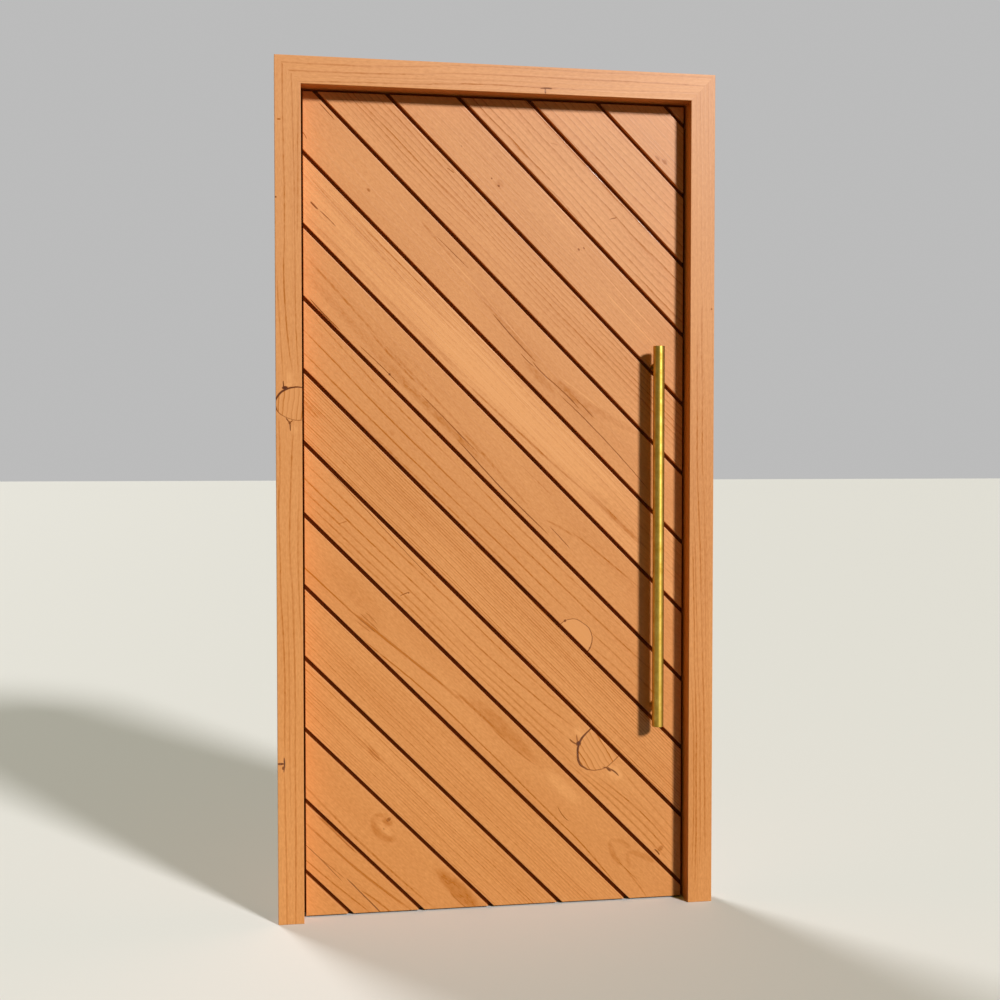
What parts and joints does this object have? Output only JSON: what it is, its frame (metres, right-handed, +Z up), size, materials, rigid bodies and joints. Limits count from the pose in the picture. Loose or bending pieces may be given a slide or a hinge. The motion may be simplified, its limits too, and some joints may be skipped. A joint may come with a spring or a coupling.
{
  "type": "interior door",
  "caption": "Interior door: solid timber block frame and a lipped leaf faced with diagonal grooved boards, hung on barrel hinges, with a long round brass pull on each face.",
  "frame": {"origin": "on the wall face of the hinge jamb, at floor level, in the middle of the frame's depth", "axes": "+Z up, +X along the wall from the hinge jamb to the latch jamb, +Y through the wall from the front, boarded face in the picture to the back, where the leaf opens"},
  "size_m": [1.138, 0.17, 2.179],
  "materials": {
    "frame_timber": "satin oiled softwood",
    "front_board_timber": "satin oiled softwood",
    "back_board_timber": "satin oiled softwood",
    "core_timber": "dark stained timber",
    "pull_brass": "polished with fine brushing",
    "hinge_brass": "satin"
  },
  "bodies": {
    "frame": {"hinge_jamb": "frame_timber", "latch_jamb": "frame_timber", "head": "frame_timber", "lower_hinge_frame_half": "hinge_brass", "middle_hinge_frame_half": "hinge_brass", "upper_hinge_frame_half": "hinge_brass"},
    "leaf": {"leaf_inner_panel": "core_timber", "leaf_lip_panel": "core_timber", "front_board_01": "front_board_timber", "front_board_02": "front_board_timber", "front_board_03": "front_board_timber", "front_board_04": "front_board_timber", "front_board_05": "front_board_timber", "front_board_06": "front_board_timber", "front_board_07": "front_board_timber", "front_board_08": "front_board_timber", "front_board_09": "front_board_timber", "front_board_10": "front_board_timber", "front_board_11": "front_board_timber", "front_board_12": "front_board_timber", "front_board_13": "front_board_timber", "front_board_14": "front_board_timber", "front_board_15": "front_board_timber", "front_board_16": "front_board_timber", "front_board_17": "front_board_timber", "front_board_18": "front_board_timber", "back_boards": "back_board_timber", "lower_hinge_leaf_half": "hinge_brass", "middle_hinge_leaf_half": "hinge_brass", "upper_hinge_leaf_half": "hinge_brass", "front_pull_bar": "pull_brass", "front_pull_lower_post": "pull_brass", "front_pull_upper_post": "pull_brass", "back_pull_bar": "pull_brass", "back_pull_lower_post": "pull_brass", "back_pull_upper_post": "pull_brass"}
  },
  "joints": [
    {"name": "leaf_swing", "type": "hinge", "parent": "frame", "child": "leaf", "pos_m": [0.036, 0.049, 0], "axis": [0, 0, 1], "range_deg": [0, 120]}
  ]
}
